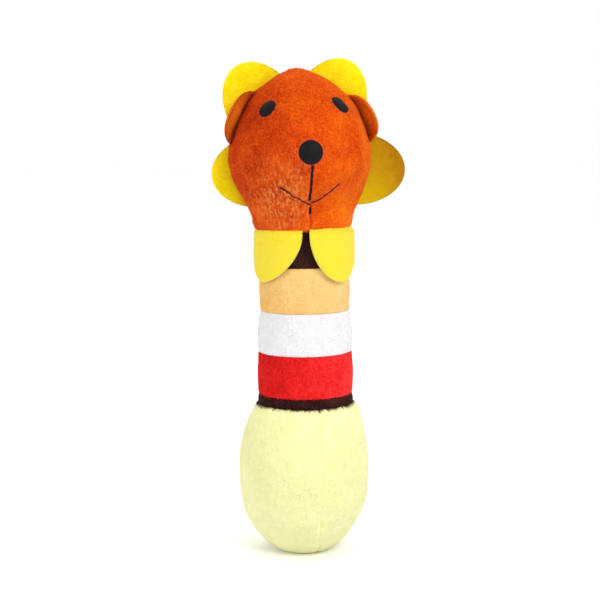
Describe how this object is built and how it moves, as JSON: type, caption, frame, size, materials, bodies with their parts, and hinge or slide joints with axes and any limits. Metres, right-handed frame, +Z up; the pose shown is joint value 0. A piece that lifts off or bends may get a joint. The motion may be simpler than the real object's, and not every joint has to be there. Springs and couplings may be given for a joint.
{
  "type": "plush stick toy",
  "caption": "Upright plush stick toy with a lion's head, felt mane petals, a banded stuffed stick and an egg-shaped grip that squeaks.",
  "frame": {"origin": "on the stick's axis, at the centre of the flattened patch that the grip stands on", "axes": "+Z up the stick to the head, -Y out of the face, +X to the right of someone who looks at the face"},
  "size_m": [0.0944, 0.0732, 0.2396],
  "materials": {
    "pale_yellow_plush": "short-pile velour, pale yellow",
    "brown_plush": "short-pile velour, dark brown",
    "red_plush": "short-pile velour, red",
    "white_plush": "short-pile velour, white",
    "apricot_plush": "short-pile velour, apricot",
    "orange_plush": "short-pile plush, orange, with streaks where the pile lies",
    "yellow_felt": "pressed craft felt, bright yellow",
    "black_thread": "satin-stitched polyester thread, black",
    "fibrefill": "loose polyester fibre",
    "squeaker_plastic": "thin blown polyethylene, milky"
  },
  "bodies": {
    "grip": {"grip_panel_front_left": "pale_yellow_plush", "grip_panel_front_right": "pale_yellow_plush", "grip_panel_back_left": "pale_yellow_plush", "grip_panel_back_right": "pale_yellow_plush", "grip_stuffing_lower": "fibrefill", "grip_stuffing_upper": "fibrefill", "squeaker_bladder": "squeaker_plastic", "waist_band": "brown_plush", "waist_stuffing": "fibrefill"},
    "squeaker_valve": {"squeaker_plug": "squeaker_plastic", "squeaker_reed": "squeaker_plastic"},
    "stick": {"red_band": "red_plush", "white_band": "white_plush", "stick_stuffing": "fibrefill"},
    "collar": {"apricot_band": "apricot_plush", "apricot_stuffing": "fibrefill"},
    "head": {"neck_band": "brown_plush", "neck_stuffing": "fibrefill", "face_panel": "orange_plush", "head_back_left": "orange_plush", "head_back_right": "orange_plush", "head_stuffing": "fibrefill", "eye_left": "black_thread", "eye_right": "black_thread", "nose": "black_thread", "nose_line": "black_thread", "chin_stitch": "black_thread", "smile_left": "black_thread", "smile_right": "black_thread"},
    "petal_upper_left": {"upper_petal_left": "yellow_felt"},
    "petal_upper_right": {"upper_petal_right": "yellow_felt"},
    "petal_side_left": {"side_petal_left": "yellow_felt"},
    "petal_side_right": {"side_petal_right": "yellow_felt"},
    "petal_bib_left": {"bib_petal_left": "yellow_felt"},
    "petal_bib_right": {"bib_petal_right": "yellow_felt"},
    "ear_left": {"ear_left_inner": "orange_plush", "ear_left_outer": "orange_plush"},
    "ear_right": {"ear_right_inner": "orange_plush", "ear_right_outer": "orange_plush"}
  },
  "joints": [
    {"name": "waist_sway", "type": "hinge", "parent": "grip", "child": "stick", "pos_m": [0.0012, 0, 0.0757], "axis": [0, 1, 0], "range_deg": [-10, 10], "stiffness_Nm_per_rad": 0.6, "deforming": ["waist_band", "waist_stuffing"]},
    {"name": "neck_turn", "type": "hinge", "parent": "stick", "child": "collar", "pos_m": [0.0012, 0, 0.1189], "axis": [0, 0, 1], "range_deg": [-25, 25], "stiffness_Nm_per_rad": 0.1},
    {"name": "neck_nod", "type": "hinge", "parent": "collar", "child": "head", "pos_m": [0.0012, 0, 0.1297], "axis": [1, 0, 0], "range_deg": [-20, 25], "stiffness_Nm_per_rad": 0.3, "deforming": ["apricot_band", "apricot_stuffing"]},
    {"name": "upper_petal_left_fold", "type": "hinge", "parent": "head", "child": "petal_upper_left", "pos_m": [-0.02224, 0.003, 0.22285], "axis": [0.8434, 0, 0.5373], "range_deg": [-25, 25], "stiffness_Nm_per_rad": 0.004},
    {"name": "upper_petal_right_fold", "type": "hinge", "parent": "head", "child": "petal_upper_right", "pos_m": [0.01809, 0.003, 0.22496], "axis": [0.8949, 0, -0.4462], "range_deg": [-25, 25], "stiffness_Nm_per_rad": 0.004},
    {"name": "side_petal_left_fold", "type": "hinge", "parent": "head", "child": "petal_side_left", "pos_m": [-0.03479, 0.003, 0.18433], "axis": [-0.1132, 0, 0.9936], "range_deg": [-25, 25], "stiffness_Nm_per_rad": 0.004},
    {"name": "side_petal_right_fold", "type": "hinge", "parent": "head", "child": "petal_side_right", "pos_m": [0.03454, 0.003, 0.18645], "axis": [-0.0523, 0, -0.9986], "range_deg": [-25, 25], "stiffness_Nm_per_rad": 0.004},
    {"name": "bib_petal_left_lift", "type": "hinge", "parent": "head", "child": "petal_bib_left", "pos_m": [-0.01805, -0.01425, 0.1568], "axis": [-0.5948, 0.8039, 0], "range_deg": [0, 60], "stiffness_Nm_per_rad": 0.004},
    {"name": "bib_petal_right_lift", "type": "hinge", "parent": "head", "child": "petal_bib_right", "pos_m": [0.01738, -0.01766, 0.1568], "axis": [-0.7373, -0.6756, 0], "range_deg": [0, 60], "stiffness_Nm_per_rad": 0.004},
    {"name": "ear_left_fold", "type": "hinge", "parent": "head", "child": "ear_left", "pos_m": [-0.02761, -0.0022, 0.2107], "axis": [0.4305, 0, 0.9026], "range_deg": [-12, 6], "stiffness_Nm_per_rad": 0.004},
    {"name": "ear_right_fold", "type": "hinge", "parent": "head", "child": "ear_right", "pos_m": [0.02628, -0.0022, 0.20985], "axis": [-0.4617, 0, 0.887], "range_deg": [-6, 12], "stiffness_Nm_per_rad": 0.004},
    {"name": "squeaker_squeeze", "type": "slide", "parent": "grip", "child": "squeaker_valve", "axis": [0, 0, -1], "range_m": [0, 0.008], "stiffness_N_per_m": 200, "deforming": ["squeaker_bladder"]}
  ]
}
